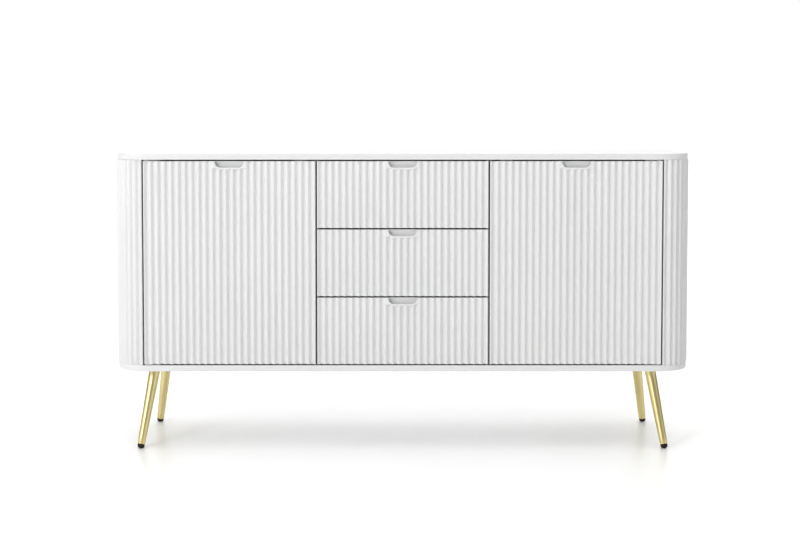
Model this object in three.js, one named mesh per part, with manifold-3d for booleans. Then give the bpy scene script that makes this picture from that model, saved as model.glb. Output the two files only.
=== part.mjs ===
// Sideboard buffet: two fluted doors and three fluted drawers between rounded fluted corner panels.
// Millimetres. X to the right as seen from the front, Y to the rear, Z up from the floor.
import * as THREE from 'three';
import { mergeVertices } from 'three/addons/utils/BufferGeometryUtils.js';
import Module from 'manifold-3d';

const wasm = await Module();
wasm.setup();

// Overall
const overallWidth = 1540; // over the ridges of the corner panels
const overallDepth = 390; // front ridges to the rear edges of the slabs
const overallHeight = 791;
const legHeight = 213; // floor to the underside of the bottom panel

// Boards
const boardThickness = 16;
const slabSetback = 2; // the flutes stand this far proud of the slab edges
const slabCornerRadius = 90;
const cornerPanelReach = 80.8; // outermost ridge to the face beside the door
const cornerPanelThickness = 16;
const stileDepth = 28; // the corner panel's inner lip, glued to the side board
const backThickness = 5;
const backRecess = 5; // back panel's face in from the rear edges
const shelfThickness = 16;
const shelfFrontInset = 23;
const shelfPlay = 0.5;

// Fronts
const drawerFrontWidth = 454;
const drawerCount = 3;
const frontThickness = 18;
const frontGap = 3;
const frontBackGap = 4; // rear of the fronts to the edges of the boards
const fluteCount = 25; // grooves in each front
const fluteDepth = 4.4;
const fluteEdgeShare = 0.6; // first groove's distance from the edge, in pitches
const fluteSteps = 6; // facets in one pitch
const edgeRadius = 4;
const edgeSteps = 3;

// Finger grips
const gripWidth = 75;
const gripHeight = 17.5;
const gripRadius = 14;
const gripBorder = 4.5;
const gripDepth = 12.5;
const gripLip = 7; // thickness of the lip that the fingers pull on
const gripUndercut = 6; // how far the pocket runs on behind the lip
const gripArcSteps = 6;

// Door pivots
const pinRadius = 2;
const pinReach = 11; // into the door
const pivotPlateSize = [44, 16, 1.8];
const bushRadius = 4;
const bushLength = 13;
const bushFlangeRadius = 6;
const bushFlange = 0.9;
const runningGap = 0.3;
const bushFit = 0.1;

// Catches
const catchSize = [42, 22, 14];
const catchInset = 16; // from the divider
const strikeSize = [34, 1.5, 12];

// Drawer boxes
const boxLift = 20; // from the front's lower edge to the box's
const boxDrop = 30; // from the front's upper edge down to the box's
const boxRearGap = 32; // drawer box to the back panel
const boxSide = 12;
const boxBase = 5;
const baseLift = 10;
const grooveDepth = 6;
const grooveGap = 0.3;

// Runners
const runnerSpace = 12.7; // divider to the drawer box
const runnerHeight = 36;
const runnerSteel = 1.5;
const runnerSetback = 8; // behind the boards' front edges
const runnerShortfall = 18; // runner's end to the drawer box's
const runnerPlay = 1.2;

// Legs
const legTopInset = [100, 88]; // axis at the top, from the outer ridges in X and Y
const legSplay = [33, 55]; // how far the foot stands out, in X and in Y
const legPlate = [80, 80, 3];
const legTopRadius = 15.2;
const legFootRadius = 10;
const legWall = 1.5;
const glideHeight = 11;
const glidePlug = 14;
const glideDome = 6.5; // height of the glide's rounded end
const glideFlat = 0.5; // how far the rounded end runs on below the floor, before it is cut flat
const domeSteps = 5;
const roundSides = 24;

// Worked out
const frontY = -overallDepth / 2;
const rearY = overallDepth / 2;
const bodyBottom = legHeight + boardThickness;
const bodyTop = overallHeight - boardThickness;
const slabHalf = overallWidth / 2 - slabSetback;
const slabFrontY = frontY + slabSetback;
const cornerFaceX = overallWidth / 2 - cornerPanelReach;
const doorOuterX = cornerFaceX - frontGap;
const drawerHalf = drawerFrontWidth / 2;
const doorInnerX = drawerHalf + frontGap;
const doorWidth = doorOuterX - doorInnerX;
const frontBottom = bodyBottom + frontGap;
const frontTop = bodyTop - frontGap;
const drawerPitch = (frontTop - frontBottom + frontGap) / drawerCount;
const drawerFrontHeight = drawerPitch - frontGap;
const frontRearY = frontY + frontThickness;
const boardFrontY = frontRearY + frontBackGap;
const backRearY = rearY - backRecess;
const boardRearY = backRearY - backThickness;
const sideInnerX = cornerFaceX - boardThickness;
const dividerInnerX = drawerHalf + frontGap / 2 - boardThickness / 2;
const dividerOuterX = dividerInnerX + boardThickness;
const pivotInset = fluteDepth + bushRadius + bushFit; // axis from the door's edge and from its ridges
const pivotX = doorOuterX - pivotInset;
const pivotY = frontY + pivotInset;
const boxHalf = dividerInnerX - runnerSpace;
const boxHeight = drawerFrontHeight - boxLift - boxDrop;
const boxRearY = boardRearY - boxRearGap;
const doorPitch = doorWidth / (fluteCount - 1 + 2 * fluteEdgeShare);

// Finishes
function finish(color, roughness, metalness) {
  return new THREE.MeshStandardMaterial({ color, roughness, metalness });
}

function whiteLacquer() {
  return finish(0xf2f2f0, 0.35, 0);
}

function whiteBoard() {
  return finish(0xe9e9e6, 0.6, 0);
}

function paleGold() {
  return finish(0xd9c98a, 0.22, 1);
}

function blackPlastic() {
  return finish(0x1c1815, 0.5, 0);
}

function zincSteel() {
  return finish(0xb8babc, 0.35, 1);
}

function whiteNylon() {
  return finish(0xdedcd6, 0.55, 0);
}

// Solids
function toSolid(geometry) {
  const bare = geometry.clone();
  bare.deleteAttribute('normal');
  bare.deleteAttribute('uv');
  const merged = mergeVertices(bare, 1e-4);
  return new wasm.Manifold(new wasm.Mesh({
    numProp: 3,
    vertProperties: new Float32Array(merged.attributes.position.array),
    triVerts: new Uint32Array(merged.index.array),
  }));
}

function toGeometry(solid) {
  const made = solid.getMesh();
  const geometry = new THREE.BufferGeometry();
  geometry.setAttribute('position', new THREE.BufferAttribute(made.vertProperties, 3));
  geometry.setIndex(new THREE.BufferAttribute(made.triVerts, 1));
  geometry.computeVertexNormals();
  return geometry;
}

function addMesh(parent, name, geometry, material) {
  const mesh = new THREE.Mesh(geometry, material);
  mesh.name = name;
  parent.add(mesh);
  return mesh;
}

// A board between two values on each axis.
function board(x, y, z) {
  const geometry = new THREE.BoxGeometry(1, 1, 1);
  const place = geometry.attributes.position;
  for (let i = 0; i < place.count; i += 1) {
    place.setXYZ(
      i,
      place.getX(i) < 0 ? x[0] : x[1],
      place.getY(i) < 0 ? y[0] : y[1],
      place.getZ(i) < 0 ? z[0] : z[1],
    );
  }
  return geometry;
}

function shapeOf(points) {
  return new THREE.Shape(points.map(([a, b]) => new THREE.Vector2(a, b)));
}

// An outline in X and Y, raised between two heights.
function raise(points, z) {
  const geometry = new THREE.ExtrudeGeometry(shapeOf(points), { depth: z[1] - z[0], bevelEnabled: false });
  return geometry.translate(0, 0, z[0]);
}

// An outline in X and Z, run along Y.
function runAlongY(points, y) {
  const geometry = new THREE.ExtrudeGeometry(shapeOf(points), { depth: y[1] - y[0], bevelEnabled: false });
  return geometry.rotateX(Math.PI / 2).translate(0, y[1], 0);
}

// A profile of radius and height turned about Z.
function turn(profile) {
  const points = profile.map(([radius, height]) => new THREE.Vector2(radius, height));
  return new THREE.LatheGeometry(points, roundSides).rotateX(Math.PI / 2);
}

// Slabs
function slabOutline() {
  const points = [[-slabHalf, rearY]];
  const cornerY = slabFrontY + slabCornerRadius;
  const steps = 16;
  for (const side of [-1, 1]) {
    for (let i = 0; i <= steps; i += 1) {
      const angle = (Math.PI / 2) * (side < 0 ? 1 - i / steps : i / steps);
      const x = slabHalf - slabCornerRadius + slabCornerRadius * Math.sin(angle);
      points.push([side * x, cornerY - slabCornerRadius * Math.cos(angle)]);
    }
  }
  points.push([slabHalf, rearY]);
  return points;
}

// Depth of the surface below the ridges at a distance along a fluted face.
function fluteAt(along, pitch, count) {
  const turns = along / pitch - fluteEdgeShare;
  if (turns < -0.5 || turns > count - 0.5) {
    return 0;
  }
  return (fluteDepth * (1 + Math.cos(2 * Math.PI * turns))) / 2;
}

// Depth taken off by the rounded edge at a distance from that edge.
function roundingAt(along) {
  if (along >= edgeRadius) {
    return 0;
  }
  const inner = edgeRadius - along;
  return edgeRadius - Math.sqrt(edgeRadius * edgeRadius - inner * inner);
}

// Distances along a fluted face where its facets meet.
function fluteStations(length, pitch) {
  const stations = [];
  for (let i = 0; i < edgeSteps; i += 1) {
    stations.push(edgeRadius * (1 - Math.cos((Math.PI / 2) * (i / edgeSteps))));
  }
  const step = pitch / fluteSteps;
  const first = Math.ceil(edgeRadius / step);
  for (let i = first; i * step < length - edgeRadius; i += 1) {
    stations.push(i * step);
  }
  for (let i = edgeSteps - 1; i >= 0; i -= 1) {
    stations.push(length - stations[i]);
  }
  return stations;
}

function frontOutline(x0, x1) {
  const width = x1 - x0;
  const pitch = width / (fluteCount - 1 + 2 * fluteEdgeShare);
  const points = fluteStations(width, pitch).map((along) => {
    const edge = Math.min(along, width - along);
    const depth = Math.max(fluteAt(along, pitch, fluteCount), roundingAt(edge));
    return [x0 + along, frontY + depth];
  });
  points.push([x1, frontRearY], [x0, frontRearY]);
  return points;
}

// A grip's outline in X and Z: straight at the top, its two lower corners rounded.
function gripOutline(x, top, halfWidth, depth, radius, above) {
  const points = [[x + halfWidth, top + above], [x - halfWidth, top + above]];
  for (const side of [-1, 1]) {
    for (let i = 0; i <= gripArcSteps; i += 1) {
      const angle = (Math.PI / 2) * (side < 0 ? i / gripArcSteps : 1 - i / gripArcSteps);
      const across = halfWidth - radius + radius * Math.cos(angle);
      points.push([x + side * across, top - depth + radius - radius * Math.sin(angle)]);
    }
  }
  return points;
}

// A fluted front with its finger grip.
function frontSolid(x0, x1, z0, z1) {
  const middle = (x0 + x1) / 2;
  const half = gripWidth / 2;
  const clear = 5;
  const borderRadius = gripRadius + gripBorder;
  const border = gripOutline(middle, z1, half + gripBorder, gripHeight + gripBorder, borderRadius, 0);
  const mouth = gripOutline(middle, z1, half, gripHeight, gripRadius, clear);
  const under = half + gripUndercut;
  const pocket = gripOutline(middle, z1, under, gripHeight + gripUndercut, gripRadius + gripUndercut, clear);
  return toSolid(raise(frontOutline(x0, x1), [z0, z1]))
    .add(toSolid(runAlongY(border, [frontY, frontY + gripLip])))
    .subtract(toSolid(runAlongY(mouth, [frontY - clear, frontY + gripDepth])))
    .subtract(toSolid(runAlongY(pocket, [frontY + gripLip, frontY + gripDepth])));
}

// The right corner panel's outline: fluted outside, round the corner and back along the end.
function cornerOutline() {
  const centreX = slabHalf - slabCornerRadius;
  const centreY = slabFrontY + slabCornerRadius;
  const outer = slabCornerRadius + slabSetback;
  const inner = outer - cornerPanelThickness;
  const startAngle = Math.asin((cornerFaceX - centreX) / outer);
  const arcLength = (Math.PI / 2 - startAngle) * outer;
  const length = arcLength + rearY - centreY;
  const count = Math.floor(length / doorPitch - 2 * fluteEdgeShare) + 1;
  const points = fluteStations(length, doorPitch).map((along) => {
    const edge = Math.min(along, length - along);
    const depth = Math.max(fluteAt(along, doorPitch, count), roundingAt(edge));
    if (along > arcLength) {
      return [centreX + outer - depth, centreY + along - arcLength];
    }
    const angle = startAngle + along / outer;
    const reach = outer - depth;
    return [Math.max(cornerFaceX, centreX + reach * Math.sin(angle)), centreY - reach * Math.cos(angle)];
  });
  points.push([centreX + inner, rearY]);
  const stileX = cornerFaceX + cornerPanelThickness;
  const endAngle = Math.asin((stileX - centreX) / inner);
  const steps = 12;
  for (let i = 0; i <= steps; i += 1) {
    const angle = Math.PI / 2 + (endAngle - Math.PI / 2) * (i / steps);
    points.push([centreX + inner * Math.sin(angle), centreY - inner * Math.cos(angle)]);
  }
  points.push([stileX, boardFrontY + stileDepth], [cornerFaceX, boardFrontY + stileDepth]);
  return points;
}

// Fixed body
function addCarcass(root) {
  const bodyZ = [bodyBottom, bodyTop];
  const boardY = [boardFrontY, boardRearY];
  const slab = slabOutline();
  addMesh(root, 'top_panel', raise(slab, [bodyTop, overallHeight]), whiteLacquer());
  addMesh(root, 'bottom_panel', raise(slab, [legHeight, bodyBottom]), whiteLacquer());
  const backHalf = overallWidth / 2 - cornerPanelThickness;
  addMesh(root, 'back_panel', board([-backHalf, backHalf], [boardRearY, backRearY], bodyZ), whiteBoard());
  for (const [word, side] of [['left', -1], ['right', 1]]) {
    const end = new THREE.Group();
    end.scale.x = side;
    root.add(end);
    const sideX = [sideInnerX, cornerFaceX];
    const dividerX = [dividerInnerX, dividerOuterX];
    const shelfX = [dividerOuterX + shelfPlay, sideInnerX - shelfPlay];
    const shelfY = [boardFrontY + shelfFrontInset, boardRearY - shelfPlay];
    const shelfZ = (bodyBottom + bodyTop - shelfThickness) / 2;
    addMesh(end, `${word}_corner_panel`, raise(cornerOutline(), bodyZ), whiteLacquer());
    addMesh(end, `${word}_side_board`, board(sideX, boardY, bodyZ), whiteBoard());
    addMesh(end, `${word}_divider`, board(dividerX, boardY, bodyZ), whiteBoard());
    addMesh(end, `${word}_shelf`, board(shelfX, shelfY, [shelfZ, shelfZ + shelfThickness]), whiteBoard());
    addCatch(end, word);
    addPivotPlate(end, `${word}_lower_pivot_plate`, bodyBottom, 1);
    addPivotPlate(end, `${word}_upper_pivot_plate`, bodyTop, -1);
    addLeg(end, `${word}_front`, -1);
    addLeg(end, `${word}_rear`, 1);
  }
}

// Magnetic catch under the top panel, behind the door's free edge.
function addCatch(end, word) {
  const x0 = dividerOuterX + catchInset;
  const y0 = frontRearY + strikeSize[1] + runningGap;
  const body = board([x0, x0 + catchSize[0]], [y0, y0 + catchSize[1]], [bodyTop - catchSize[2], bodyTop]);
  addMesh(end, `${word}_door_catch`, body, whiteNylon());
}

// A plate on a slab with its pin pointing into the door; up is 1 on the bottom panel.
function addPivotPlate(end, name, seatZ, up) {
  const [length, width, thickness] = pivotPlateSize;
  const group = new THREE.Group();
  group.position.set(pivotX, pivotY, seatZ);
  group.scale.z = up;
  end.add(group);
  const edge = bushFlangeRadius;
  const plate = board([edge - length, edge], [-edge, width - edge], [0, thickness]);
  const pin = turn([[0, thickness / 2], [pinRadius, thickness / 2], [pinRadius, frontGap + pinReach],
    [0, frontGap + pinReach]]);
  addMesh(group, name, toGeometry(toSolid(plate).add(toSolid(pin))), zincSteel());
}

// A splayed tapered tube welded under its mounting plate, with a plastic glide in its lower end.
function addLeg(end, word, rearward) {
  const topX = overallWidth / 2 - legTopInset[0];
  const topY = overallDepth / 2 - legTopInset[1];
  const axis = new THREE.Vector3(...legSplay, -legHeight);
  const length = axis.length();
  const tilt = new THREE.Quaternion().setFromUnitVectors(new THREE.Vector3(0, 0, -1), axis.normalize());
  const corner = new THREE.Group();
  corner.position.set(topX, rearward * topY, legHeight);
  corner.scale.y = rearward;
  end.add(corner);

  const reach = 20;
  const tubeEnd = glideHeight - length;
  const taper = (legTopRadius - legFootRadius) / -tubeEnd;
  const topOver = legTopRadius + reach * taper;
  const tube = turn([[legFootRadius - legWall, tubeEnd], [legFootRadius, tubeEnd], [topOver, reach],
    [topOver - legWall, reach], [legFootRadius - legWall, tubeEnd]]).applyQuaternion(tilt);
  const [plateX, plateY, plateZ] = legPlate;
  const wide = 2 * legPlate[0];
  const above = board([-wide, wide], [-wide, wide], [-plateZ / 2, wide]);
  const plate = board([-plateX / 2, plateX / 2], [-plateY / 2, plateY / 2], [-plateZ, 0]);
  const leg = toSolid(tube).subtract(toSolid(above)).add(toSolid(plate));
  addMesh(corner, `${word}_leg`, toGeometry(leg), paleGold());

  const seat = tubeEnd - runningGap;
  const plugRadius = legFootRadius - legWall - runningGap;
  const domeTop = glideDome - glideFlat - length;
  const profile = [];
  for (let i = 0; i <= domeSteps; i += 1) {
    const angle = (Math.PI / 2) * (i / domeSteps);
    profile.push([legFootRadius * Math.sin(angle), domeTop - glideDome * Math.cos(angle)]);
  }
  profile.push([legFootRadius, seat], [plugRadius, seat], [plugRadius, seat + glidePlug], [0, seat + glidePlug]);
  const glide = turn(profile);
  const floor = board([-wide, wide], [-wide, wide], [-legHeight - wide, -legHeight]);
  const cut = toSolid(glide.applyQuaternion(tilt)).subtract(toSolid(floor));
  addMesh(corner, `${word}_glide`, toGeometry(cut), blackPlastic());
}

// Doors
function addDoor(root, word, side) {
  const door = new THREE.Group();
  door.scale.x = side;
  root.add(door);
  const hole = bushRadius + bushFit;
  const holeDepth = bushLength + runningGap;
  let panel = frontSolid(doorInnerX, doorOuterX, frontBottom, frontTop);
  for (const [name, z, up] of [['lower', frontBottom, 1], ['upper', frontTop, -1]]) {
    const bore = turn([[0, -1], [hole, -1], [hole, holeDepth], [0, holeDepth]]);
    if (up < 0) {
      bore.rotateX(Math.PI);
    }
    panel = panel.subtract(toSolid(bore.translate(pivotX, pivotY, z)));
    addBush(door, `${word}_door_${name}_bush`, z, up);
  }
  addMesh(door, `${word}_door_panel`, toGeometry(panel), whiteLacquer());
  const [width, thickness, height] = strikeSize;
  const strikeX = dividerOuterX + catchInset + (catchSize[0] - width) / 2;
  const strikeZ = bodyTop - catchSize[2];
  const strikeY = [frontRearY, frontRearY + thickness];
  const strike = board([strikeX, strikeX + width], strikeY, [strikeZ, strikeZ + height]);
  addMesh(door, `${word}_door_strike`, strike, zincSteel());
}

// A flanged nylon bush pressed into the door's edge round the pin.
function addBush(door, name, z, up) {
  const group = new THREE.Group();
  group.position.set(pivotX, pivotY, z);
  group.scale.z = up;
  door.add(group);
  const bore = pinRadius + runningGap;
  const bush = turn([[bore, -bushFlange], [bushFlangeRadius, -bushFlange], [bushFlangeRadius, 0],
    [bushRadius, 0], [bushRadius, bushLength], [bore, bushLength], [bore, -bushFlange]]);
  addMesh(group, name, bush, whiteNylon());
}

// A channel of bent steel, open towards negative X when mouth is -1.
function channelOutline(webX, mouth, width, height) {
  const half = height / 2;
  const inside = half - runnerSteel;
  const lipX = webX + mouth * width;
  const innerX = webX + mouth * runnerSteel;
  const points = [[webX, -half], [lipX, -half], [lipX, -inside], [innerX, -inside],
    [innerX, inside], [lipX, inside], [lipX, half], [webX, half]];
  return mouth < 0 ? points.reverse() : points;
}

// Drawers
function addDrawer(root, word, z) {
  const drawer = new THREE.Group();
  drawer.position.z = z;
  root.add(drawer);
  const front = frontSolid(-drawerHalf, drawerHalf, 0, drawerFrontHeight);
  addMesh(drawer, `${word}_drawer_front`, toGeometry(front), whiteLacquer());
  const boxY = [frontRearY, boxRearY];
  const innerHalf = boxHalf - boxSide;
  const boxTop = boxLift + boxHeight;
  const grooveZ = [boxLift + baseLift - grooveGap, boxLift + baseLift + boxBase + grooveGap];
  const backY = [boxY[1] - boxSide, boxY[1]];
  const backZ = [grooveZ[1], boxTop];
  addMesh(drawer, `${word}_drawer_back`, board([-innerHalf, innerHalf], backY, backZ), whiteBoard());
  const baseHalf = innerHalf + grooveDepth - grooveGap;
  const baseZ = [boxLift + baseLift, boxLift + baseLift + boxBase];
  const baseY = [frontRearY, boxY[1]];
  addMesh(drawer, `${word}_drawer_base`, board([-baseHalf, baseHalf], baseY, baseZ), whiteBoard());

  const runnerZ = boxLift + boxHeight / 2;
  const runnerY = [boardFrontY + runnerSetback, boxRearY - runnerShortfall];
  const channelWidth = runnerSpace - runnerSteel - runnerPlay;
  const fixed = channelOutline(dividerInnerX, -1, channelWidth, runnerHeight);
  const movingHeight = runnerHeight - 2 * runnerSteel - 2 * runnerPlay;
  const moving = channelOutline(boxHalf, 1, channelWidth, movingHeight);
  for (const [end, side] of [['left', -1], ['right', 1]]) {
    const half = new THREE.Group();
    half.scale.x = side;
    drawer.add(half);
    const grooveX = innerHalf + grooveDepth;
    const section = [[innerHalf, boxLift], [boxHalf, boxLift], [boxHalf, boxTop], [innerHalf, boxTop],
      [innerHalf, grooveZ[1]], [grooveX, grooveZ[1]], [grooveX, grooveZ[0]], [innerHalf, grooveZ[0]]];
    addMesh(half, `${word}_drawer_${end}_side`, runAlongY(section, boxY), whiteBoard());
    for (const [part, outline] of [['fixed', fixed], ['moving', moving]]) {
      const name = `${word}_${end}_${part}_runner`;
      const runner = addMesh(half, name, runAlongY(outline, runnerY), zincSteel());
      runner.position.z = runnerZ;
    }
  }
}

const sideboard = new THREE.Group();
addCarcass(sideboard);
addDoor(sideboard, 'left', -1);
addDoor(sideboard, 'right', 1);
['lower', 'middle', 'upper'].forEach((word, i) => addDrawer(sideboard, word, frontBottom + i * drawerPitch));

export default sideboard;
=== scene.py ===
import math
import random

import bmesh
import bpy
from mathutils import Matrix, Vector


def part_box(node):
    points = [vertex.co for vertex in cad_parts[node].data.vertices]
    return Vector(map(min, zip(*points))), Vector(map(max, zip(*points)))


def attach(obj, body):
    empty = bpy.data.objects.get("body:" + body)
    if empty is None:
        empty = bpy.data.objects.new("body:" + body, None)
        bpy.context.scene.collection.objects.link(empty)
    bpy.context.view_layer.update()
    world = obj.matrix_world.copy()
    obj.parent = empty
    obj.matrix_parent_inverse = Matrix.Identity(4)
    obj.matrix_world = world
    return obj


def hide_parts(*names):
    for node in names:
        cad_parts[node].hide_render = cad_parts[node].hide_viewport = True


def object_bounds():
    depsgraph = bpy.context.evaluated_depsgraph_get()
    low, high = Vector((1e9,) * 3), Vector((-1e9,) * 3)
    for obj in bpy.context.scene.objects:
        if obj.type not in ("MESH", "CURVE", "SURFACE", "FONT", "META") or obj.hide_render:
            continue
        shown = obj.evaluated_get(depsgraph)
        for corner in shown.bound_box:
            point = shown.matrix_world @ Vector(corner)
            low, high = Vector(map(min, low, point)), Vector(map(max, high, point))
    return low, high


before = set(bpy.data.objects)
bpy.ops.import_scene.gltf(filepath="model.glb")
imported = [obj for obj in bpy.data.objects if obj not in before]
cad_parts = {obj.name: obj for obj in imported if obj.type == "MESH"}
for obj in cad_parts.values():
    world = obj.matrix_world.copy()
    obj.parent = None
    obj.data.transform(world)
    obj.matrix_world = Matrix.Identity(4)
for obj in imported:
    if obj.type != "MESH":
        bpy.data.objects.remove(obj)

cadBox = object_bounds()
sides = {"left": -1, "right": 1}
drawerWords = ("lower", "middle", "upper")
random.seed(7)

mainView = {
    "height": 0.909,      # lens above the floor
    "distance": 3.673,    # lens to the front ridges
    "sideways": -0.0386,
    "pitch": 2.7,         # degrees down
    "lens": 62.79,
    "shiftX": 0.0148,
    "shiftY": -0.1147,
}


def makeCamera(view):
    data = bpy.data.cameras.new("mainCamera")
    data.lens = view["lens"]
    data.sensor_width = 36
    data.shift_x = view["shiftX"]
    data.shift_y = view["shiftY"]
    camera = bpy.data.objects.new("mainCamera", data)
    bpy.context.scene.collection.objects.link(camera)
    camera.location = (view["sideways"], cadBox[0].y - view["distance"], view["height"])
    camera.rotation_euler = (math.radians(90 - view["pitch"]), 0, 0)
    bpy.context.scene.camera = camera


makeCamera(mainView)
print("camera placed")


# Finishes. Every pattern reads Object coordinates, in metres.
def startMaterial(name, color, roughness, metallic=0.0):
    material = bpy.data.materials.new(name)
    material.use_nodes = True
    shader = material.node_tree.nodes["Principled BSDF"]
    shader.inputs["Base Color"].default_value = (*color, 1)
    shader.inputs["Roughness"].default_value = roughness
    shader.inputs["Metallic"].default_value = metallic
    return material


def addNoise(material, scale, stretch=(1, 1, 1), detail=3.0):
    nodes, links = material.node_tree.nodes, material.node_tree.links
    place = nodes.new("ShaderNodeTexCoord")
    mapping = nodes.new("ShaderNodeMapping")
    mapping.inputs["Scale"].default_value = stretch
    noise = nodes.new("ShaderNodeTexNoise")
    noise.inputs["Scale"].default_value = scale
    noise.inputs["Detail"].default_value = detail
    links.new(place.outputs["Object"], mapping.inputs["Vector"])
    links.new(mapping.outputs["Vector"], noise.inputs["Vector"])
    return noise.outputs["Fac"]


def varyRoughness(material, pattern, low, high):
    nodes, links = material.node_tree.nodes, material.node_tree.links
    spread = nodes.new("ShaderNodeMapRange")
    spread.inputs["From Min"].default_value = 0.3
    spread.inputs["From Max"].default_value = 0.7
    spread.inputs["To Min"].default_value = low
    spread.inputs["To Max"].default_value = high
    links.new(pattern, spread.inputs["Value"])
    links.new(spread.outputs["Result"], nodes["Principled BSDF"].inputs["Roughness"])


def varyColor(material, pattern, colorA, colorB):
    nodes, links = material.node_tree.nodes, material.node_tree.links
    ramp = nodes.new("ShaderNodeValToRGB")
    ramp.color_ramp.elements[0].position = 0.3
    ramp.color_ramp.elements[0].color = (*colorA, 1)
    ramp.color_ramp.elements[1].position = 0.7
    ramp.color_ramp.elements[1].color = (*colorB, 1)
    links.new(pattern, ramp.inputs["Fac"])
    links.new(ramp.outputs["Color"], nodes["Principled BSDF"].inputs["Base Color"])


def addBump(material, pattern, strength, distance):
    nodes, links = material.node_tree.nodes, material.node_tree.links
    bump = nodes.new("ShaderNodeBump")
    bump.inputs["Strength"].default_value = strength
    bump.inputs["Distance"].default_value = distance
    links.new(pattern, bump.inputs["Height"])
    links.new(bump.outputs["Normal"], nodes["Principled BSDF"].inputs["Normal"])


def whiteLacquer():
    material = startMaterial("whiteLacquer", (0.772, 0.772, 0.772), 0.42)
    varyColor(material, addNoise(material, 2.5), (0.762, 0.764, 0.768), (0.784, 0.784, 0.781))
    varyRoughness(material, addNoise(material, 260), 0.40, 0.45)
    addBump(material, addNoise(material, 700, detail=2), 0.05, 0.0001)
    return material


def whiteBoard():
    material = startMaterial("whiteBoard", (0.72, 0.72, 0.71), 0.55)
    varyColor(material, addNoise(material, 4), (0.71, 0.71, 0.70), (0.735, 0.735, 0.73))
    varyRoughness(material, addNoise(material, 120, detail=5), 0.48, 0.62)
    addBump(material, addNoise(material, 1500, detail=4), 0.25, 0.0002)
    return material


def paleGold():
    material = startMaterial("paleGold", (0.72, 0.62, 0.31), 0.3, 1.0)
    streaks = addNoise(material, 1.0, (900, 900, 6), 4)
    varyColor(material, addNoise(material, 14), (0.76, 0.67, 0.37), (0.80, 0.715, 0.41))
    varyRoughness(material, streaks, 0.29, 0.40)
    addBump(material, streaks, 0.05, 0.0001)
    return material


def blackPlastic():
    material = startMaterial("blackPlastic", (0.02, 0.015, 0.012), 0.42)
    varyColor(material, addNoise(material, 90), (0.016, 0.012, 0.010), (0.032, 0.024, 0.018))
    varyRoughness(material, addNoise(material, 300, detail=4), 0.34, 0.52)
    addBump(material, addNoise(material, 2500), 0.2, 0.0002)
    return material


def whiteNylon():
    material = startMaterial("whiteNylon", (0.74, 0.73, 0.69), 0.5)
    varyColor(material, addNoise(material, 60), (0.72, 0.71, 0.67), (0.77, 0.76, 0.72))
    varyRoughness(material, addNoise(material, 400), 0.42, 0.58)
    addBump(material, addNoise(material, 1800), 0.15, 0.0002)
    return material


def zincSteel():
    material = startMaterial("zincSteel", (0.6, 0.61, 0.62), 0.32, 1.0)
    spangle = addNoise(material, 260, detail=5)
    varyColor(material, spangle, (0.54, 0.55, 0.57), (0.68, 0.69, 0.69))
    varyRoughness(material, addNoise(material, 1.0, (40, 900, 40), 4), 0.24, 0.42)
    addBump(material, spangle, 0.08, 0.0001)
    return material


finishes = {
    "white_lacquer": whiteLacquer(),
    "white_board": whiteBoard(),
    "pale_gold": paleGold(),
    "black_plastic": blackPlastic(),
    "white_plastic": whiteNylon(),
    "zinc_steel": zincSteel(),
}
print("finishes made")


# Ways of making pieces
def deselectAll():
    bpy.ops.object.select_all(action="DESELECT")


def nameActive(name):
    piece = bpy.context.active_object
    piece.name = name
    piece.data.name = name
    return piece


def useModifier(piece, kind, **settings):
    deselectAll()
    bpy.context.view_layer.objects.active = piece
    piece.select_set(True)
    modifier = piece.modifiers.new(kind.lower(), kind)
    for key, value in settings.items():
        setattr(modifier, key, value)
    bpy.ops.object.modifier_apply(modifier=modifier.name)


def softenEdges(piece, width, segments=2, angle=40):
    useModifier(piece, "BEVEL", width=width, segments=segments, limit_method="ANGLE",
                angle_limit=math.radians(angle), harden_normals=False)


def cutAway(piece, cutter):
    useModifier(piece, "BOOLEAN", operation="DIFFERENCE", solver="EXACT", object=cutter)
    bpy.data.objects.remove(cutter)


def growRings(name, rings):
    # a circle set on the first ring, extruded ring by ring, then closed at both ends
    deselectAll()
    bpy.ops.mesh.primitive_circle_add(vertices=len(rings[0]), radius=1)
    piece = nameActive(name)
    bpy.ops.object.mode_set(mode="EDIT")
    bpy.ops.mesh.select_mode(type="VERT")
    bpy.ops.mesh.select_all(action="SELECT")
    mesh = bmesh.from_edit_mesh(piece.data)
    order = mesh.verts.layers.int.new("order")
    for index, vertex in enumerate(mesh.verts):
        vertex[order] = index
        vertex.co = rings[0][index]
    for ring in rings[1:]:
        bpy.ops.mesh.extrude_edges_move()
        mesh = bmesh.from_edit_mesh(piece.data)
        order = mesh.verts.layers.int["order"]
        for vertex in mesh.verts:
            if vertex.select:
                vertex.co = ring[vertex[order]]
    bpy.ops.mesh.edge_face_add()
    bpy.ops.mesh.select_all(action="DESELECT")
    mesh = bmesh.from_edit_mesh(piece.data)
    for edge in mesh.edges:
        edge.select_set(edge.is_boundary)
    bpy.ops.mesh.edge_face_add()
    bpy.ops.mesh.select_all(action="SELECT")
    bpy.ops.mesh.normals_make_consistent(inside=False)
    bpy.ops.object.mode_set(mode="OBJECT")
    piece.data.attributes.remove(piece.data.attributes["order"])
    return piece


def makeBlock(name, low, high, edge=0.0006, segments=2):
    # a cube stretched between two corners, its edges softened
    deselectAll()
    low, high = Vector(low), Vector(high)
    bpy.ops.mesh.primitive_cube_add(size=1, location=(low + high) / 2)
    piece = nameActive(name)
    piece.scale = high - low
    bpy.ops.object.transform_apply(location=True, rotation=True, scale=True)
    softenEdges(piece, edge, segments)
    return piece


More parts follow.
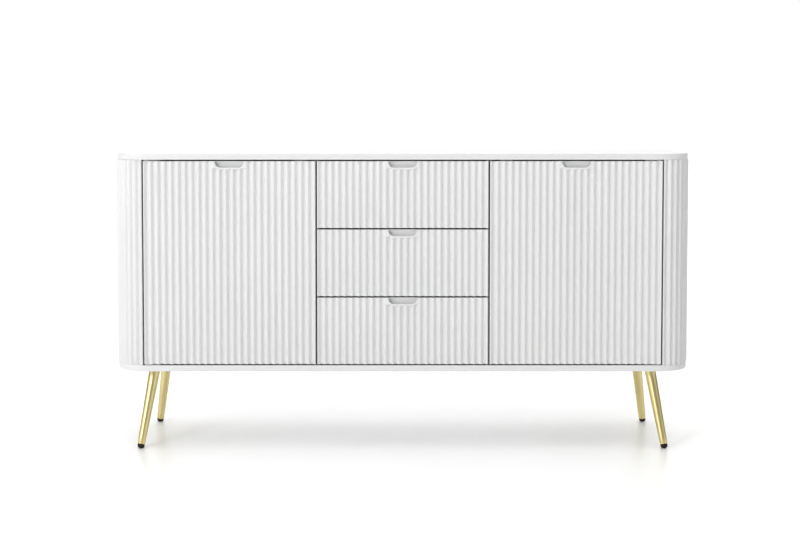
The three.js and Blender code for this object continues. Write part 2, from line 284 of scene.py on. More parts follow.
def makeRod(name, start, axis, profile, count=24, spin=0.0):
    # a turned piece: profile is distance along the axis and radius
    axis = Vector(axis).normalized()
    across = axis.orthogonal().normalized()
    upward = axis.cross(across)
    rings = []
    for along, radius in profile:
        centre = Vector(start) + axis * along
        angles = [spin + 2 * math.pi * i / count for i in range(count)]
        spokes = [math.cos(a) * across + math.sin(a) * upward for a in angles]
        rings.append([centre + radius * spoke for spoke in spokes])
    return growRings(name, rings)


def makeTube(name, start, axis, profile, count):
    # like a rod, but with a bore right through: its last ring is bridged to its first
    piece = makeRod(name, start, axis, profile, count)
    deselectAll()
    piece.select_set(True)
    bpy.context.view_layer.objects.active = piece
    bpy.ops.object.mode_set(mode="EDIT")
    bpy.ops.mesh.select_mode(type="FACE")
    bpy.ops.mesh.select_all(action="DESELECT")
    mesh = bmesh.from_edit_mesh(piece.data)
    for face in mesh.faces:
        face.select_set(len(face.verts) == count)
    bpy.ops.mesh.delete(type="ONLY_FACE")
    bpy.ops.mesh.select_mode(type="EDGE")
    bpy.ops.mesh.select_all(action="DESELECT")
    mesh = bmesh.from_edit_mesh(piece.data)
    for edge in mesh.edges:
        edge.select_set(edge.is_boundary)
    bpy.ops.mesh.bridge_edge_loops()
    bpy.ops.mesh.select_all(action="SELECT")
    bpy.ops.mesh.normals_make_consistent(inside=False)
    bpy.ops.object.mode_set(mode="OBJECT")
    return piece


def trimBelow(piece, height):
    # cuts off and caps whatever is below a level
    deselectAll()
    piece.select_set(True)
    bpy.context.view_layer.objects.active = piece
    bpy.ops.object.mode_set(mode="EDIT")
    bpy.ops.mesh.select_all(action="SELECT")
    bpy.ops.mesh.bisect(plane_co=(0, 0, height), plane_no=(0, 0, 1), use_fill=True,
                        clear_inner=True, threshold=0.000001)
    bpy.ops.object.mode_set(mode="OBJECT")


def joinPieces(name, pieces):
    deselectAll()
    for piece in pieces:
        piece.select_set(True)
    bpy.context.view_layer.objects.active = pieces[0]
    bpy.ops.object.join()
    return nameActive(name)


def finishPiece(piece, body, slot, nodes=(), angle=35):
    deselectAll()
    piece.select_set(True)
    bpy.context.view_layer.objects.active = piece
    bpy.ops.object.transform_apply(location=True, rotation=True, scale=True)
    bpy.ops.object.shade_smooth_by_angle(angle=math.radians(angle))
    piece.data.materials.clear()
    piece.data.materials.append(finishes[slot])
    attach(piece, body)
    if nodes:
        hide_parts(*nodes)
    return piece


def quarterTurn(radius, steps):
    # how far in from the face, and how far down from the edge, a rounded edge is
    angles = [math.pi / 2 * i / steps for i in range(steps + 1)]
    return [(radius * (1 - math.sin(a)), radius * (1 - math.cos(a))) for a in angles]


def roundedHeights(low, high, radius, steps):
    # heights through a board with its two edges rounded, each with its inset
    edge = quarterTurn(radius, steps)
    lower = [(low + rise, inset) for inset, rise in edge]
    upper = [(high - rise, inset) for inset, rise in reversed(edge)]
    return lower + upper


# Screws: one is modelled, and the rest are copies
screw = {"head": 0.0036, "height": 0.0011, "recess": 0.0021, "slot": 0.0007, "sunk": 0.0005}


def makeScrewMaster():
    head, height = screw["head"], screw["height"]
    profile = [(-screw["sunk"], head * 0.9), (0, head), (height * 0.45, head * 0.94),
               (height * 0.8, head * 0.75), (height, head * 0.45)]
    master = makeRod("screwMaster", (0, 0, 0), (0, 0, 1), profile, 20)
    for across, along in ((screw["recess"], screw["slot"]), (screw["slot"], screw["recess"])):
        low, high = (-across, -along, height * 0.35), (across, along, height * 2)
        cutAway(master, makeBlock("recess", low, high, 0.0001, 1))
    return master


screwMaster = makeScrewMaster()


def addScrews(name, body, places, axis, size=1.0):
    copies = []
    turn = Vector((0, 0, 1)).rotation_difference(Vector(axis)).to_matrix().to_4x4()
    for place in places:
        copy = bpy.data.objects.new("screwCopy", screwMaster.data.copy())
        bpy.context.scene.collection.objects.link(copy)
        spin = Matrix.Rotation(random.uniform(0, math.pi), 4, "Z")
        copy.data.transform(Matrix.Translation(place) @ turn @ spin @ Matrix.Scale(size, 4))
        copies.append(copy)
    return finishPiece(joinPieces(name, copies), body, "zinc_steel")


# Top and bottom panels
slab = {
    "cornerRadius": 0.090,
    "rearCorner": 0.0015,
    "edge": 0.0012,        # rounding of the upper and lower edges
    "cornerSteps": 28,
    "rearSteps": 4,
    "edgeSteps": 4,
}


def slabRing(low, high, inset, z):
    ring = []
    radius = slab["cornerRadius"] - inset
    rear = slab["rearCorner"]
    corners = ((-1, -1, radius, 180), (1, -1, radius, 270), (1, 1, rear, 0), (-1, 1, rear, 90))
    for signX, signY, r, first in corners:
        x = (high.x - inset - r) * signX
        y = (low.y + inset + r) if signY < 0 else (high.y - inset - r)
        steps = slab["cornerSteps"] if signY < 0 else slab["rearSteps"]
        for i in range(steps + 1):
            angle = math.radians(first + 90 * i / steps)
            ring.append(Vector((x + r * math.cos(angle), y + r * math.sin(angle), z)))
    return ring


def makeSlab(name, node):
    low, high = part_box(node)
    heights = roundedHeights(low.z, high.z, slab["edge"], slab["edgeSteps"])
    return growRings(name, [slabRing(low, high, inset, z) for z, inset in heights])


finishPiece(makeSlab("topPanel", "top_panel"), "carcass", "white_lacquer", ["top_panel"])
finishPiece(makeSlab("bottomPanel", "bottom_panel"), "carcass", "white_lacquer", ["bottom_panel"])
print("slabs made")


# Fluted surfaces
flutes = {
    "count": 25,           # grooves in each front
    "depth": 0.0058,       # the CAD has 0.0044; this shades more strongly
    "edgeShare": 0.6,      # first groove from the edge, in pitches
    "steps": 14,           # facets in a pitch
    "sideEdge": 0.0036,    # rounding of the upright edges
    "sideSteps": 5,        # facets in that rounding
    "endEdge": 0.0009,     # rounding of the upper and lower edges
    "stoppedEachSide": 2,  # grooves that end under the grip, each side of the middle one
    "outerStopRise": 0.0026,  # how much higher the outermost of those end
    "domeRows": 12,        # rings through the rounded ends of those grooves
    "endSteps": 3,         # facets in an edge rounding
    "stopSteepness": 2.4,  # how much sharper a groove ends than it is wide
    "edgeTrim": 0.0004,    # how far each edge stays inside the CAD front, which widens the gaps
}
grip = {
    "width": 0.075,
    "height": 0.0170,
    "radius": 0.0145,
    "border": 0.0035,
    "depth": 0.0125,
    "lip": 0.007,
    "undercut": 0.006,
    "rim": 0.0008,
    "floorEdge": 0.002,
    "above": 0.005,        # how far the cutter reaches over the top edge
    "before": 0.004,       # how far it reaches out of the front
    "arcSteps": 10,
}


def grooveDepth(distance, pitch):
    if distance >= pitch / 2:
        return 0.0
    return flutes["depth"] * (1 + math.cos(2 * math.pi * distance / pitch)) / 2


def edgeDepth(distance):
    radius = flutes["sideEdge"]
    if distance >= radius:
        return 0.0
    return radius - math.sqrt(radius * radius - (radius - distance) ** 2)


def fluteStations(length, pitch):
    radius = flutes["sideEdge"]
    steps = flutes["sideSteps"]
    arc = [radius * (1 - math.cos(math.pi / 2 * i / steps)) for i in range(steps + 1)]
    step = pitch / flutes["steps"]
    first = math.floor(radius / step) + 1
    last = math.ceil((length - radius) / step)
    clear = radius * 1.1
    inner = [i * step for i in range(first, last) if clear < i * step < length - clear]
    return arc + inner + [length - s for s in reversed(arc)]


def frontRing(low, high, z, inset):
    # a front's outline at one height: grooves along the front, then the flat rear
    width = high.x - low.x
    pitch = width / (flutes["count"] - 1 + 2 * flutes["edgeShare"])
    middle = (flutes["count"] - 1) / 2
    stop = high.z - grip["height"] - grip["border"]
    ring = []
    for along in fluteStations(width, pitch):
        index = min(max(round(along / pitch - flutes["edgeShare"]), 0), flutes["count"] - 1)
        offset = along - (index + flutes["edgeShare"]) * pitch
        steps = abs(index - middle)
        if steps <= flutes["stoppedEachSide"]:
            top = stop + (flutes["outerStopRise"] if steps == flutes["stoppedEachSide"] else 0)
            steep = flutes["stopSteepness"]
            offset = math.hypot(offset, steep * max(0.0, z - (top - pitch / 2 / steep)))
        edge = min(along, width - along)
        depth = max(grooveDepth(abs(offset), pitch), edgeDepth(edge))
        share = max(0.0, 1 - edge / flutes["sideEdge"])
        shift = inset * share * (1 if along < width / 2 else -1)
        ring.append(Vector((low.x + along + shift, low.y + depth + inset, z)))
    rear = flutes["endEdge"]
    for corner, direction in ((high.x - inset, -1), (low.x + inset, 1)):
        arc = [math.pi / 2 * i / flutes["endSteps"] for i in range(flutes["endSteps"] + 1)]
        if direction > 0:
            arc.reverse()
        for angle in arc:
            x = corner + direction * rear * (1 - math.cos(angle))
            ring.append(Vector((x, high.y - inset - rear * (1 - math.sin(angle)), z)))
    return ring


def gripRing(centreX, top, offset, y):
    half = grip["width"] / 2 + offset
    radius = grip["radius"] + offset
    low = top - grip["height"] - offset
    over = top + grip["above"]
    ring = [Vector((centreX + half, y, over)), Vector((centreX - half, y, over))]
    for sign in (-1, 1):
        arc = [math.pi / 2 * i / grip["arcSteps"] for i in range(grip["arcSteps"] + 1)]
        if sign > 0:
            arc.reverse()
        for angle in arc:
            x = centreX + sign * (half - radius + radius * math.cos(angle))
            ring.append(Vector((x, y, low + radius - radius * math.sin(angle))))
    return ring


def makeGripCutter(centreX, top, frontY):
    rim, lip, under = grip["rim"], grip["lip"], grip["undercut"]
    floor, soft = grip["depth"], grip["floorEdge"]
    stages = [(-grip["before"], rim)]
    stages += [(rise, inset) for inset, rise in quarterTurn(rim, 5)]
    stages += [(lip, 0), (lip, under), (floor - soft, under)]
    stages += [(floor - rise, under - inset) for inset, rise in reversed(quarterTurn(soft, 4)[:-1])]
    rings = [gripRing(centreX, top, offset, frontY + y) for y, offset in stages]
    return growRings("gripCutter", rings)


def makeFront(name, node, bores=()):
    low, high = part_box(node)
    trim = Vector((flutes["edgeTrim"], 0, flutes["edgeTrim"]))
    low, high = low + trim, high - trim
    centreX = (low.x + high.x) / 2
    pitch = (high.x - low.x) / (flutes["count"] - 1 + 2 * flutes["edgeShare"])
    stop = high.z - grip["height"] - grip["border"]
    ends = roundedHeights(low.z, high.z, flutes["endEdge"], flutes["endSteps"])
    half = len(ends) // 2
    rows = flutes["domeRows"]
    first = stop - pitch / 2 / flutes["stopSteepness"]
    span = stop - first + flutes["outerStopRise"]
    domes = [(first + span * i / rows, 0.0) for i in range(rows + 1)]
    heights = ends[:half] + domes + ends[half:]
    piece = growRings(name, [frontRing(low, high, z, inset) for z, inset in heights])
    cutAway(piece, makeGripCutter(centreX, high.z, low.y))
    for bore in bores:
        cutAway(piece, bore)
    return piece


# Doors
door = {
    "pivotInset": 0.0085,  # from the front and outer edges
    "bore": 0.0041,
    "boreDepth": 0.0133,
    "strikeScrew": 0.011,  # from the middle of the strike
    "bumperInset": (0.0036, 0.03),   # from the free edge, and from the ends
    "bumper": ((0, 0.003), (0.0012, 0.003), (0.0022, 0.0024), (0.003, 0.001)),
}
bush = {
    "flange": 0.006,
    "flangeThick": 0.0009,
    "flangeEdge": 0.0003,
    "outer": 0.004,
    "bore": 0.0023,
    "chamfer": 0.0006,     # at the end inside the door
}


def doorPivot(word):
    low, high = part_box(f"{word}_door_panel")
    outer = low.x if word == "left" else high.x
    inset = door["pivotInset"]
    return Vector((outer - sides[word] * inset, low.y + inset, 0)), low, high


def makeDoor(word):
    body = f"{word}_door"
    pivot, low, high = doorPivot(word)
    bores = []
    for z, up in ((low.z, 1), (high.z, -1)):
        profile = [(-0.002, door["bore"]), (door["boreDepth"], door["bore"])]
        bores.append(makeRod("bore", (pivot.x, pivot.y, z), (0, 0, up), profile, 32))
    panel = makeFront(f"{word}DoorPanel", f"{word}_door_panel", bores)
    finishPiece(panel, body, "white_lacquer", [f"{word}_door_panel"])
    for end, up in (("lower", 1), ("upper", -1)):
        node = f"{word}_door_{end}_bush"
        bushLow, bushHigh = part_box(node)
        start = (pivot.x, pivot.y, bushLow.z if up > 0 else bushHigh.z)
        piece = makeBush(f"{word}Door{end.title()}Bush", start, up, bushHigh.z - bushLow.z)
        finishPiece(piece, body, "white_plastic", [node])
    strikeLow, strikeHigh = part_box(f"{word}_door_strike")
    strike = makeBlock(f"{word}DoorStrike", strikeLow, strikeHigh, 0.0004)
    finishPiece(strike, body, "zinc_steel", [f"{word}_door_strike"])
    middle = (strikeLow + strikeHigh) / 2
    screwX = door["strikeScrew"]
    places = [(middle.x + dx, strikeHigh.y, middle.z) for dx in (-screwX, screwX)]
    addScrews(f"{word}StrikeScrews", body, places, (0, 1, 0), 0.6)
    makeBumpers(word, body, low, high)


def makeBush(name, start, up, length):
    flange, thick, edge = bush["flange"], bush["flangeThick"], bush["flangeEdge"]
    outer, bore, chamfer = bush["outer"], bush["bore"], bush["chamfer"]
    profile = [(0, bore), (0, flange - edge), (edge, flange), (thick, flange), (thick, outer),
               (length - chamfer, outer), (length, outer - chamfer), (length, bore)]
    return makeTube(name, start, (0, 0, up), profile, 40)


def makeBumpers(word, body, low, high):
    inner = high.x if word == "left" else low.x
    insetX, insetZ = door["bumperInset"]
    x = inner + sides[word] * insetX
    bumpers = []
    for z in (low.z + insetZ, high.z - insetZ):
        bumpers.append(makeRod("bumper", (x, high.y, z), (0, 1, 0), door["bumper"], 20))
    finishPiece(joinPieces(f"{word}DoorBumpers", bumpers), body, "white_plastic")


for doorWord in sides:
    makeDoor(doorWord)
print("doors made")


# Corner panels
cornerPanel = {"thickness": 0.016, "stile": 0.028, "proud": 0.002, "innerSteps": 24}


def cornerRing(word, low, high, z, inset):
    # grooves run round the corner and along the side, then the inner face comes back
    side = sides[word]
    faceX = min(abs(low.x), abs(high.x))
    outer = slab["cornerRadius"] + cornerPanel["proud"]
    centreX = max(abs(low.x), abs(high.x)) - outer
    centreY = cadBox[0].y + outer
    innerRadius = outer - cornerPanel["thickness"]
    doorLow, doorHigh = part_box("right_door_panel")
    pitch = (doorHigh.x - doorLow.x) / (flutes["count"] - 1 + 2 * flutes["edgeShare"])
    startAngle = math.asin((faceX - centreX) / outer)
    arcLength = (math.pi / 2 - startAngle) * outer
    length = arcLength + high.y - centreY
    count = math.floor(length / pitch - 2 * flutes["edgeShare"]) + 1
    ring = []
    for along in fluteStations(length, pitch):
        index = min(max(round(along / pitch - flutes["edgeShare"]), 0), count - 1)
        offset = abs(along - (index + flutes["edgeShare"]) * pitch)
        edge = min(along, length - along)
        reach = outer - max(grooveDepth(offset, pitch), edgeDepth(edge)) - inset
        share = max(0.0, 1 - edge / flutes["sideEdge"]) * inset
        if along > arcLength:
            ring.append((centreX + reach, centreY + along - arcLength - share))
            continue
        angle = startAngle + along / outer
        x = max(faceX, centreX + reach * math.sin(angle)) + share
        ring.append((x, centreY - reach * math.cos(angle)))
    ring.append((centreX + innerRadius, high.y))
    stileX = faceX + cornerPanel["thickness"]
    endAngle = math.asin((stileX - centreX) / innerRadius)
    for i in range(cornerPanel["innerSteps"] + 1):
        angle = math.pi / 2 + (endAngle - math.pi / 2) * i / cornerPanel["innerSteps"]
        x = centreX + innerRadius * math.sin(angle)
        ring.append((x, centreY - innerRadius * math.cos(angle)))
    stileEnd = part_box("left_side_board")[0].y + cornerPanel["stile"]
    ring += [(stileX, stileEnd), (faceX, stileEnd)]
    return [Vector((side * x, y, z)) for x, y in ring]


def makeCornerPanel(word):
    node = f"{word}_corner_panel"
    low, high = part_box(node)
    heights = roundedHeights(low.z, high.z, flutes["endEdge"], flutes["endSteps"])
    rings = [cornerRing(word, low, high, z, inset) for z, inset in heights]
    piece = growRings(f"{word}CornerPanel", rings)
    finishPiece(piece, "carcass", "white_lacquer", [node])


for endWord in sides:
    makeCornerPanel(endWord)
print("corner panels made")


# Boards inside
carcass = {
    "pinRadius": 0.0025,
    "pinLength": 0.009,    # out of the board
    "pinSunk": 0.006,      # in the board
    "pinInset": 0.04,      # from the shelf's front and rear edges
    "holeDepth": 0.008,
    "holePitch": 0.032,
    "holeRows": 2,         # spare holes above and below
    "cutOver": 0.002,      # how far a cutter reaches out of the board
    "backScrews": (0, 0.14, 0.28, 0.42, 0.56, 0.70),
    "backInset": 0.012,
}


def pinPlaces(word):
    shelfLow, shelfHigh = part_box(f"{word}_shelf")
    z = shelfLow.z - carcass["pinRadius"]
    faces = {
        f"{word}_side_board": (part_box(f"{word}_side_board"), -sides[word]),
        f"{word}_divider": (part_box(f"{word}_divider"), sides[word]),
    }
    found = []
    for node, ((low, high), direction) in faces.items():
        x = high.x if direction > 0 else low.x
        for y in (shelfLow.y + carcass["pinInset"], shelfHigh.y - carcass["pinInset"]):
            found.append((node, Vector((x, y, z)), direction))
    return found


def makeCarcassBoards(word):
    places = pinPlaces(word)
    radius, over, sunk = carcass["pinRadius"], carcass["cutOver"], carcass["pinSunk"]
    for part in ("side_board", "divider"):
        node = f"{word}_{part}"
        low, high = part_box(node)
        piece = makeBlock(word + part.title().replace("_", ""), low, high)
        cutters = []
        for owner, place, direction in places:
            if owner != node:
                continue
            for row in range(-carcass["holeRows"], carcass["holeRows"] + 1):
                start = place + Vector((direction * over, 0, row * carcass["holePitch"]))
                profile = [(0, radius), (over + carcass["holeDepth"], radius)]
                cutters.append(makeRod("pinHole", start, (-direction, 0, 0), profile, 20))
        cutAway(piece, joinPieces("pinHoles", cutters))
        finishPiece(piece, "carcass", "white_board", [node])
    low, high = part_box(f"{word}_shelf")
    finishPiece(makeBlock(f"{word}Shelf", low, high), "carcass", "white_board", [f"{word}_shelf"])
    pins = []
    radius -= 0.0001       # the pins are a sliding fit
    end = sunk + carcass["pinLength"]
    for owner, place, direction in places:
        start = place - Vector((direction * sunk, 0, 0))
        profile = [(0, radius), (end - 0.001, radius), (end - 0.0003, radius * 0.8),
                   (end, radius * 0.5)]
        pins.append(makeRod("shelfPin", start, (direction, 0, 0), profile, 20))
    finishPiece(joinPieces(f"{word}ShelfPins", pins), "carcass", "zinc_steel")


def makeBackPanel():
    low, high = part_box("back_panel")
    finishPiece(makeBlock("backPanel", low, high), "carcass", "white_board", ["back_panel"])
    places = []
    right = carcass["backScrews"]
    stations = [-x for x in reversed(right[1:])] + list(right)
    for z in (low.z + carcass["backInset"], high.z - carcass["backInset"]):
        places += [(x, high.y, z) for x in stations]
    for name in ("left_side_board", "left_divider", "right_divider", "right_side_board"):
        boardLow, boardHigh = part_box(name)
        x = (boardLow.x + boardHigh.x) / 2
        heights = [low.z + (high.z - low.z) * share for share in (0.2, 0.4, 0.6, 0.8)]
        places += [(x, high.y, z) for z in heights]
    addScrews("backPanelScrews", "carcass", places, (0, 1, 0), 0.9)


for endWord in sides:
    makeCarcassBoards(endWord)
makeBackPanel()
print("carcass boards made")


# Door fittings on the carcass
fitting = {
    "plateThick": 0.0018,
    "plateSetback": 0.004,           # keeps its front edge out of sight in the gap
    "pinRadius": 0.002,
    "pinEnd": ((0.0008, 0.002), (0.0003, 0.0017), (0, 0.0011)),   # from the end, and radius
    "plateScrews": (0.014, 0.031),   # from the pivot
    "catchEdge": 0.0018,
    "earWidth": 0.008,
    "earThick": 0.003,
    "earInset": (0.005, 0.004),      # from the front and rear
    "earScrew": 0.004,               # from the end of the ear
    "poles": (0.003, 0.0095),        # heights of the magnet's two poles
    "poleThick": 0.0024,
    "poleInset": 0.011,              # from the ends
    "poleDepth": 0.003,
    "poleOut": 0.001,                # how far they stand out of the body
}


def makePivotPlate(word, end, up):
    node = f"{word}_{end}_pivot_plate"
    low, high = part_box(node)
    pivot = doorPivot(word)[0]
    seat = low.z if up > 0 else high.z
    thick, pinRadius = fitting["plateThick"], fitting["pinRadius"]
    z = sorted((seat, seat + up * thick))
    plateLow = (low.x, low.y + fitting["plateSetback"], z[0])
    plate = makeBlock("plate", plateLow, (high.x, high.y, z[1]), 0.0004)
    reach = high.z - low.z
    profile = [(thick * 0.5, pinRadius)]
    profile += [(reach - back, radius) for back, radius in fitting["pinEnd"]]
    pin = makeRod("pin", (pivot.x, pivot.y, seat), (0, 0, up), profile, 28)
    piece = joinPieces(f"{word}{end.title()}PivotPlate", [plate, pin])
    finishPiece(piece, "carcass", "zinc_steel", [node])
    inner = -sides[word]
    y = (low.y + high.y) / 2
    places = [(pivot.x + inner * d, y, seat + up * thick) for d in fitting["plateScrews"]]
    addScrews(f"{word}{end.title()}PivotScrews", "carcass", places, (0, 0, up), 0.7)


def makeCatch(word):
    low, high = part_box(f"{word}_door_catch")
    ear, under = fitting["earWidth"], high.z - fitting["earThick"]
    bodyLow = (low.x + ear, low.y + fitting["poleOut"], low.z)
    body = makeBlock("catchBody", bodyLow, (high.x - ear, high.y, high.z), fitting["catchEdge"], 3)
    front, rear = fitting["earInset"]
    earsLow, earsHigh = (low.x, low.y + front, under), (high.x, high.y - rear, high.z)
    ears = makeBlock("catchEars", earsLow, earsHigh, 0.001, 3)
    catch = joinPieces(f"{word}DoorCatch", [body, ears])
    finishPiece(catch, "carcass", "white_plastic", [f"{word}_door_catch"])
    magnets = []
    half, end = fitting["poleThick"] / 2, fitting["poleInset"]
    for rise in fitting["poles"]:
        z = low.z + rise
        poleLow = (low.x + end, low.y, z - half)
        poleHigh = (high.x - end, low.y + fitting["poleDepth"], z + half)
        magnets.append(makeBlock("magnet", poleLow, poleHigh, 0.0003))
    finishPiece(joinPieces(f"{word}CatchPoles", magnets), "carcass", "zinc_steel")
    y = (low.y + high.y) / 2
    inset = fitting["earScrew"]
    places = [(x, y, under) for x in (low.x + inset, high.x - inset)]
    addScrews(f"{word}CatchScrews", "carcass", places, (0, 0, -1), 0.7)


for doorWord in sides:
    makePivotPlate(doorWord, "lower", 1)
    makePivotPlate(doorWord, "upper", -1)
    makeCatch(doorWord)
print("door fittings made")


# Legs
leg = {
    "topInset": (0.100, 0.088),
    "splay": (0.033, 0.055),
    "topRadius": 0.0152,
    "footRadius": 0.0100,
    "tubeRows": 12,
    "levelRows": 3,        # rows in which the rings turn from level to square
    "tubeEdge": 0.0008,    # rounding of the tube's end
    "glide": 0.011,        # height below the tube
    "glideInset": 0.0008,  # how much slimmer it is than the tube's end
    "dome": 0.0065,        # height of its rounded end
    "flat": 0.0005,        # how far the rounded end runs on below the floor, before it is cut
    "plate": 0.080,
    "plateThick": 0.003,
    "weld": 0.0016,
    "screwInset": 0.012,   # from the plate's edges
    "plug": 0.012,         # how far a glide reaches into its leg
    "plugInset": 0.002,    # how much slimmer it is there
    "glideGap": 0.0003,    # between the tube and the glide's shoulder
    "glideEdge": 0.0004,
    "domeSteps": 12,
    "sides": 64,
}


def legRing(top, axis, along, radius, level):
    # level 1 lays the ring flat, level 0 leaves it square to the leg
    across = axis.orthogonal().normalized()
    upward = axis.cross(across)
    centre = top + axis * along
    ring = []
    for i in range(leg["sides"]):
        angle = 2 * math.pi * i / leg["sides"]
        spoke = radius * (math.cos(angle) * across + math.sin(angle) * upward)
        ring.append(centre + spoke - axis * (level * spoke.z / axis.z))
    return ring


def makeLeg(word, end):
    sideX, sideY = sides[word], (-1 if end == "front" else 1)
    node = f"{word}_{end}_leg"
    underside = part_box("bottom_panel")[0].z
    insetX, insetY = leg["topInset"]
    splayX, splayY = leg["splay"]
    top = Vector((sideX * (cadBox[1].x - insetX), sideY * (cadBox[1].y - insetY), underside))
    axis = Vector((sideX * splayX, sideY * splayY, -underside))
    length = axis.length
    axis.normalize()
    tubeEnd = length - leg["glide"]
    thick = leg["plateThick"]

    def radiusAt(along):
        return leg["topRadius"] + (leg["footRadius"] - leg["topRadius"]) * along / tubeEnd

    start = thick / -axis.z    # where the leg comes out of its plate
    weld, edge, rows = leg["weld"], leg["tubeEdge"], leg["tubeRows"]
    rings = [legRing(top, axis, start * 0.5, radiusAt(start) + weld, 1)]
    rings.append(legRing(top, axis, start, radiusAt(start) + weld, 1))
    for share in (0.25, 0.5, 0.75, 1.0):
        angle = math.pi / 2 * share
        grow = weld * (1 - math.sin(angle))
        along = start + weld * (1 - math.cos(angle))
        rings.append(legRing(top, axis, along, radiusAt(start) + grow, 1))
    for i in range(1, rows + 1):
        along = start + weld + (tubeEnd - edge - start - weld) * i / rows
        level = max(0.0, 1 - i / leg["levelRows"])
        rings.append(legRing(top, axis, along, radiusAt(along), level))
    for back, inset in ((edge * 0.375, edge * 0.25), (0, edge)):
        rings.append(legRing(top, axis, tubeEnd - back, radiusAt(tubeEnd) - inset, 0))
    tube = growRings("tube", rings)
    half = leg["plate"] / 2
    plateLow = (top.x - half, top.y - half, underside - thick)
    plate = makeBlock("plate", plateLow, (top.x + half, top.y + half, underside), 0.0008, 3)
    piece = joinPieces(f"{word}{end.title()}Leg", [tube, plate])
    finishPiece(piece, "carcass", "pale_gold", [node])
    out = half - leg["screwInset"]
    spots = [(dx, dy) for dx in (-out, out) for dy in (-out, out)]
    places = [(top.x + dx, top.y + dy, underside - thick) for dx, dy in spots]
    addScrews(f"{word}{end.title()}LegScrews", "carcass", places, (0, 0, -1), 1.3)

    foot = leg["footRadius"] - leg["glideInset"]
    plug, gap, edge = foot - leg["plugInset"], leg["glideGap"], leg["glideEdge"]
    stages = [(-leg["plug"], plug), (gap, plug), (gap, foot - edge), (gap + edge, foot)]
    rings = [legRing(top, axis, tubeEnd + along, radius, 0) for along, radius in stages]
    domeTop = length + leg["flat"] - leg["dome"]
    for i in range(leg["domeSteps"] + 1):
        angle = math.pi / 2 * i / (leg["domeSteps"] + 0.5)    # stops short of a point
        along = domeTop + leg["dome"] * math.sin(angle)
        rings.append(legRing(top, axis, along, foot * math.cos(angle), 0))
    glide = growRings(f"{word}{end.title()}Glide", rings)
    trimBelow(glide, 0.0)
    finishPiece(glide, "carcass", "black_plastic", [f"{word}_{end}_glide"])


for endWord in sides:
    makeLeg(endWord, "front")
    makeLeg(endWord, "rear")
print("legs made")


# Drawers
drawer = {
    "edge": 0.0006,
    "grooveGap": 0.0003,   # round the base, in the sides' grooves
    "runnerSteel": 0.0015,
    "runnerEdge": 0.0005,
    "runnerScrews": (0.035, 0.15, 0.265),    # from the front end
}


def makeDrawerSide(name, node, base, inward):
    # the section has a groove for the base, on its inner face
    low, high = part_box(node)
    baseLow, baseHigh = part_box(base)
    gap = drawer["grooveGap"]
    inner, outer = (high.x, low.x) if inward > 0 else (low.x, high.x)
    floor = (baseHigh.x if inward < 0 else baseLow.x) - inward * gap
    upper, lower = baseHigh.z + gap, baseLow.z - gap
    section = [(inner, low.z), (outer, low.z), (outer, high.z), (inner, high.z),
               (inner, upper), (floor, upper), (floor, lower), (inner, lower)]
    rings = [[Vector((x, y, z)) for x, z in section] for y in (low.y, high.y)]
    piece = growRings(name, rings)
    softenEdges(piece, drawer["edge"])
    return piece


def makeChannel(name, node, mouth):
    # a bent steel channel, open on the side that mouth points to
    low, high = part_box(node)
    steel = drawer["runnerSteel"]
    web, lip = (low.x, high.x) if mouth > 0 else (high.x, low.x)
    inner = web + mouth * steel
    section = [(web, low.z), (lip, low.z), (lip, low.z + steel), (inner, low.z + steel),
               (inner, high.z - steel), (lip, high.z - steel), (lip, high.z), (web, high.z)]
    rings = [[Vector((x, y, z)) for x, z in section] for y in (low.y, high.y)]
    piece = growRings(name, rings)
    softenEdges(piece, drawer["runnerEdge"], 3)
    return piece


def makeDrawer(word):
    body = f"{word}_drawer"
    front = makeFront(f"{word}DrawerFront", f"{word}_drawer_front")
    finishPiece(front, body, "white_lacquer", [f"{word}_drawer_front"])
    for part in ("back", "base"):
        node = f"{word}_drawer_{part}"
        low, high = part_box(node)
        piece = makeBlock(f"{word}Drawer{part.title()}", low, high)
        finishPiece(piece, body, "white_board", [node])
    for end in sides:
        side = sides[end]
        node = f"{word}_drawer_{end}_side"
        piece = makeDrawerSide(f"{word}Drawer{end.title()}Side", node, f"{word}_drawer_base", -side)
        finishPiece(piece, body, "white_board", [node])
        fixedNode = f"{word}_{end}_fixed_runner"
        movingNode = f"{word}_{end}_moving_runner"
        fixed = makeChannel(f"{word}{end.title()}FixedRunner", fixedNode, -side)
        finishPiece(fixed, "carcass", "zinc_steel", [fixedNode])
        moving = makeChannel(f"{word}{end.title()}MovingRunner", movingNode, side)
        finishPiece(moving, body, "zinc_steel", [movingNode])
        low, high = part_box(movingNode)
        web = low.x if side > 0 else high.x
        x = web + side * drawer["runnerSteel"]
        z = (low.z + high.z) / 2
        places = [(x, low.y + along, z) for along in drawer["runnerScrews"]]
        addScrews(f"{word}{end.title()}RunnerScrews", body, places, (side, 0, 0), 0.9)


for drawerWord in drawerWords:
    makeDrawer(drawerWord)
bpy.data.objects.remove(screwMaster)
print("drawers made")


# Studio
studio = {
    "base": 0.12,          # light from every side
    "lobes": (             # direction, where the lobe starts and is full, strength
        ((0, 1, 0), 0.45, 0.85, 0.96),
        ((0, 0, 1), 0.45, 0.95, 1.53),
        ((-0.87, -0.48, 0.15), 0.82, 0.97, 1.15),
        ((0.87, -0.5, 0.05), 0.90, 0.98, 1.0),
        ((0, -1, 0.05), 0.60, 0.95, 0.24),
    ),
    "backdrop": 1.05,
    "softboxes": {         # place, width, height, power
        "leftSoftbox": ((-3.2, -4.6, 2.4), 1.4, 1.4, 76.0),
    },
    "aim": (-0.1, -0.2, 0.5),
    "exposure": 0.1,
    "gamma": 0.79,
}


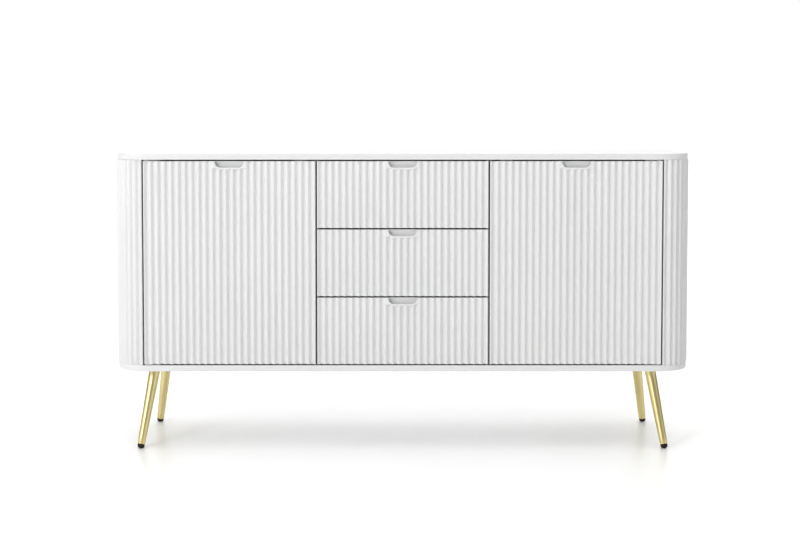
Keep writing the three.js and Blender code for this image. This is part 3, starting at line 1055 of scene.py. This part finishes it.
def makeFloor():
    deselectAll()
    bpy.ops.mesh.primitive_plane_add(size=60, location=(0, 0, 0))
    floor = nameActive("studioFloor")
    material = startMaterial("paleFloor", (0.93, 0.93, 0.93), 0.3)
    varyRoughness(material, addNoise(material, 3), 0.28, 0.36)
    floor.data.materials.append(material)


def makeWorld():
    world = bpy.data.worlds.new("studioWorld")
    bpy.context.scene.world = world
    world.use_nodes = True
    nodes, links = world.node_tree.nodes, world.node_tree.links
    background = nodes["Background"]
    background.inputs["Color"].default_value = (1, 1, 1, 1)
    place = nodes.new("ShaderNodeTexCoord")
    total = None
    for direction, start, full, strength in studio["lobes"]:
        towards = nodes.new("ShaderNodeVectorMath")
        towards.operation = "DOT_PRODUCT"
        towards.inputs[1].default_value = Vector(direction).normalized()
        spread = nodes.new("ShaderNodeMapRange")
        spread.interpolation_type = "SMOOTHSTEP"
        spread.inputs["From Min"].default_value = start
        spread.inputs["From Max"].default_value = full
        spread.inputs["To Max"].default_value = strength
        add = nodes.new("ShaderNodeMath")
        add.inputs[1].default_value = studio["base"]
        links.new(place.outputs["Generated"], towards.inputs[0])
        links.new(towards.outputs["Value"], spread.inputs["Value"])
        links.new(spread.outputs["Result"], add.inputs[0])
        if total is not None:
            links.new(total, add.inputs[1])
        total = add.outputs["Value"]
    seen = nodes.new("ShaderNodeLightPath")
    choose = nodes.new("ShaderNodeMix")
    choose.inputs["B"].default_value = studio["backdrop"]
    links.new(seen.outputs["Is Camera Ray"], choose.inputs["Factor"])
    links.new(total, choose.inputs["A"])
    links.new(choose.outputs["Result"], background.inputs["Strength"])


def addSoftbox(name, place, width, height, power):
    data = bpy.data.lights.new(name, "AREA")
    data.shape = "RECTANGLE"
    data.size, data.size_y = width, height
    data.energy = power
    light = bpy.data.objects.new(name, data)
    bpy.context.scene.collection.objects.link(light)
    light.location = place
    towards = Vector(studio["aim"]) - Vector(place)
    light.rotation_euler = towards.to_track_quat("-Z", "Y").to_euler()


makeFloor()
makeWorld()
for boxName, boxSetting in studio["softboxes"].items():
    addSoftbox(boxName, *boxSetting)
display = bpy.context.scene.view_settings
display.view_transform = "Standard"
display.look = "None"
display.exposure = studio["exposure"]
display.gamma = studio["gamma"]
print("studio made")
